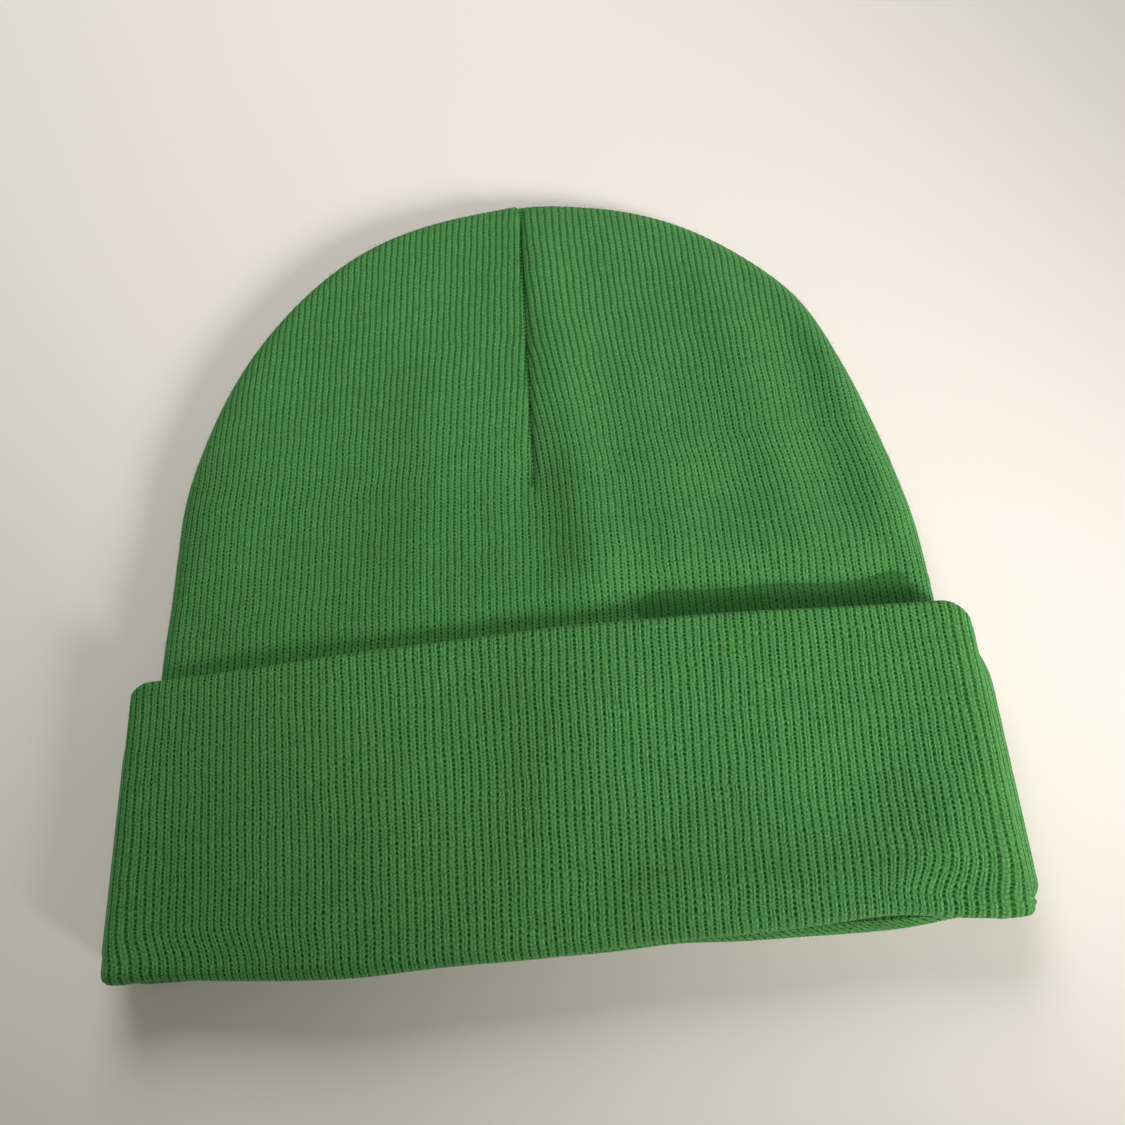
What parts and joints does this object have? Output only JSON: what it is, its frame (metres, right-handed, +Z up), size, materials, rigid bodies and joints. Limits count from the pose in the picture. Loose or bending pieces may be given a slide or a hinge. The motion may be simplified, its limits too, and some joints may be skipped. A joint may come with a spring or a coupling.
{
  "type": "knit beanie",
  "caption": "Double-layer rib-knit beanie with a turned-up cuff and a dart-shaped crown, lying flat on its back.",
  "frame": {"origin": "on the surface that the hat lies on, under the middle of its box", "axes": "+X to the hat's side seen on the right, +Y from the mouth to the crown, +Z up through the hat's front"},
  "size_m": [0.22, 0.223, 0.02],
  "materials": {
    "shell_knit": "matte rib knit",
    "liner_knit": "matte rib knit",
    "cuff_knit": "matte rib knit",
    "seam_thread": "matte thread"
  },
  "bodies": {
    "crown": {"outer_shell": "shell_knit", "inner_liner": "liner_knit", "shell_front_dart_seam": "seam_thread", "shell_back_dart_seam": "seam_thread", "shell_left_dart_seam": "seam_thread", "shell_right_dart_seam": "seam_thread", "liner_front_dart_seam": "seam_thread", "liner_back_dart_seam": "seam_thread", "liner_left_dart_seam": "seam_thread", "liner_right_dart_seam": "seam_thread", "crown_tack": "seam_thread", "front_turn_fold": "cuff_knit", "back_turn_fold": "cuff_knit"},
    "cuff_front": {"cuff_front_face": "cuff_knit", "cuff_front_inner": "shell_knit"},
    "cuff_back": {"cuff_back_face": "cuff_knit", "cuff_back_inner": "shell_knit"},
    "cuff_left": {"cuff_left_side_fold": "cuff_knit"},
    "cuff_right": {"cuff_right_side_fold": "cuff_knit"}
  },
  "joints": [
    {"name": "cuff_turn", "type": "hinge", "parent": "crown", "child": "cuff_front", "pos_m": [0, -0.10802, 0.01655], "axis": [1, 0, 0], "range_deg": [0, 176], "deforming": ["front_turn_fold"]},
    {"name": "cuff_back_turn", "type": "hinge", "parent": "crown", "child": "cuff_back", "pos_m": [0, -0.10802, 0.00345], "axis": [1, 0, 0], "range_deg": [-176, 0], "deforming": ["back_turn_fold"]},
    {"name": "cuff_left_turn", "type": "hinge", "parent": "crown", "child": "cuff_left", "pos_m": [0, -0.10802, 0.01], "axis": [1, 0, 0], "range_deg": [0, 176], "deforming": ["cuff_left_side_fold"]},
    {"name": "cuff_right_turn", "type": "hinge", "parent": "crown", "child": "cuff_right", "pos_m": [0, -0.10802, 0.01], "axis": [1, 0, 0], "range_deg": [0, 176], "deforming": ["cuff_right_side_fold"]}
  ],
  "couplings": [
    {"joint": "cuff_back_turn", "follows": "cuff_turn", "ratio": -1},
    {"joint": "cuff_left_turn", "follows": "cuff_turn", "ratio": 1},
    {"joint": "cuff_right_turn", "follows": "cuff_turn", "ratio": 1}
  ]
}
